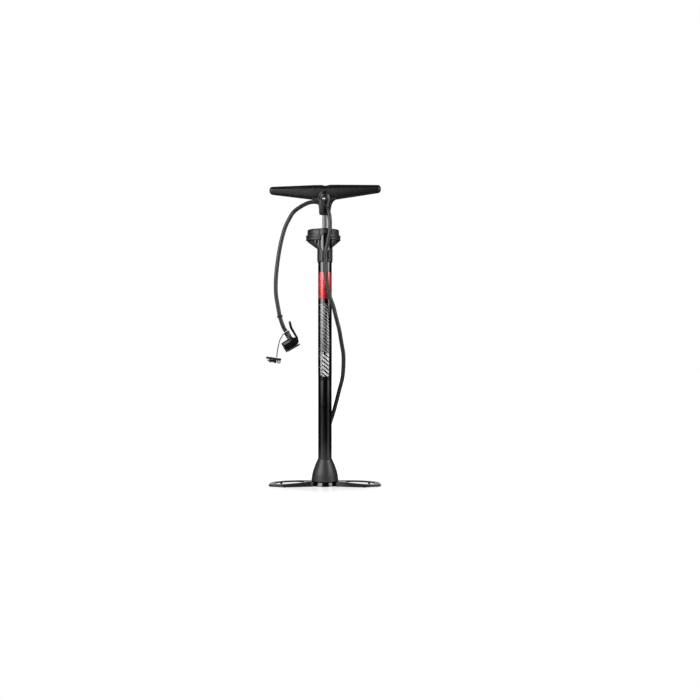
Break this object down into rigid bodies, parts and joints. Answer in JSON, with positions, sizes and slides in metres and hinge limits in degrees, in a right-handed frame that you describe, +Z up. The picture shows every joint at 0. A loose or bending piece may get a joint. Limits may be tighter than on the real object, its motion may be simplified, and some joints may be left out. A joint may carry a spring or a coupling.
{
  "type": "floor bike pump",
  "caption": "Upright floor pump for bicycle tyres: steel barrel on a pressed winged stand, T handle on a sliding rod, top gauge, hose clipped to the handle and lever chuck.",
  "frame": {"origin": "on the barrel's axis, at the floor, on the centre pad's flat underside", "axes": "+Z up along the barrel; +X along the handle to the right; -Y is the side with the hose clip"},
  "size_m": [0.2514, 0.0988, 0.6617],
  "materials": {
    "black_paint": "gloss black stoved paint",
    "black_rubber": "matte moulded rubber",
    "grey_plastic": "dark grey moulded plastic with a fine texture",
    "zinc_steel": "bright zinc-plated steel",
    "brass": "machined brass",
    "black_satin_plastic": "black moulded plastic, satin",
    "drawn_alloy": "drawn aluminium tube",
    "cast_alloy": "die-cast aluminium",
    "dial_white": "matte printed dial",
    "needle_red": "red paint",
    "clear_lens": "clear lens",
    "black_gloss_plastic": "gloss black moulded plastic",
    "acetal": "natural acetal",
    "chrome": "bright chrome",
    "hose_rubber": "dark grey satin rubber"
  },
  "bodies": {
    "frame": {"base_plate": "black_paint", "foot_front_left": "black_rubber", "foot_front_right": "black_rubber", "foot_rear_left": "black_rubber", "foot_rear_right": "black_rubber", "centre_pad": "black_rubber", "base_cone": "grey_plastic", "base_screw_1": "zinc_steel", "base_screw_2": "zinc_steel", "base_screw_3": "zinc_steel", "valve_block": "brass", "valve_plug": "brass", "valve_spring": "zinc_steel", "outlet_elbow": "brass", "outlet_nut": "black_satin_plastic", "barrel_tube": "black_paint", "air_cylinder": "drawn_alloy", "gauge_pipe": "brass", "gauge_housing": "grey_plastic", "clamp_screw": "zinc_steel", "gauge_movement": "brass", "gauge_dial": "dial_white", "gauge_lens": "clear_lens", "gauge_bezel": "black_gloss_plastic", "top_cap": "cast_alloy", "rod_bushing": "acetal", "rod_wiper": "black_rubber", "top_bumper": "black_rubber", "hose": "hose_rubber", "hose_ring": "black_satin_plastic", "chuck_body": "black_gloss_plastic", "chuck_end_collar": "black_gloss_plastic", "chuck_grommet": "black_rubber", "chuck_nut": "black_gloss_plastic", "lanyard_ring": "hose_rubber", "adapter_holder": "black_satin_plastic", "cone_adapter": "black_gloss_plastic", "ball_needle": "zinc_steel", "presta_adapter": "zinc_steel", "lanyard": "hose_rubber"},
    "piston": {"piston_head": "acetal", "cup_seal": "black_rubber", "piston_washer": "zinc_steel", "piston_nut": "zinc_steel"},
    "handle": {"piston_rod": "chrome", "handle": "black_satin_plastic", "hose_hook": "black_satin_plastic", "hook_rivet": "zinc_steel", "handle_pin": "zinc_steel"},
    "chuck_lever": {"chuck_lever": "black_gloss_plastic", "lever_pin": "chrome"},
    "chuck_plunger": {"chuck_plunger": "acetal"},
    "gauge_needle": {"gauge_needle": "needle_red"},
    "check_ball": {"check_ball": "zinc_steel"}
  },
  "joints": [
    {"name": "pump_stroke", "type": "slide", "parent": "frame", "child": "piston", "axis": [0, 0, 1], "range_m": [0, 0.45]},
    {"name": "handle_turn", "type": "hinge", "parent": "piston", "child": "handle", "pos_m": [0, 0, 0.6], "axis": [0, 0, 1], "range_deg": [-4, 4]},
    {"name": "chuck_lever", "type": "hinge", "parent": "frame", "child": "chuck_lever", "pos_m": [-0.06507, -0.0178, 0.31808], "axis": [0, 1, 0], "range_deg": [0, 90]},
    {"name": "chuck_plunger", "type": "slide", "parent": "frame", "child": "chuck_plunger", "axis": [-0.866, 0, -0.5], "range_m": [0, 0.0016]},
    {"name": "gauge_needle", "type": "hinge", "parent": "frame", "child": "gauge_needle", "pos_m": [-0.00512, 0.02905, 0.562], "axis": [0, 0, -1], "range_deg": [0, 270], "stiffness_Nm_per_rad": 0.00002},
    {"name": "check_valve", "type": "slide", "parent": "frame", "child": "check_ball", "axis": [0, 0, -1], "range_m": [0, 0.0015], "stiffness_N_per_m": 60, "deforming": ["valve_spring"]}
  ],
  "couplings": [
    {"joint": "chuck_plunger", "follows": "chuck_lever", "m_per_rad": 0.000955}
  ]
}
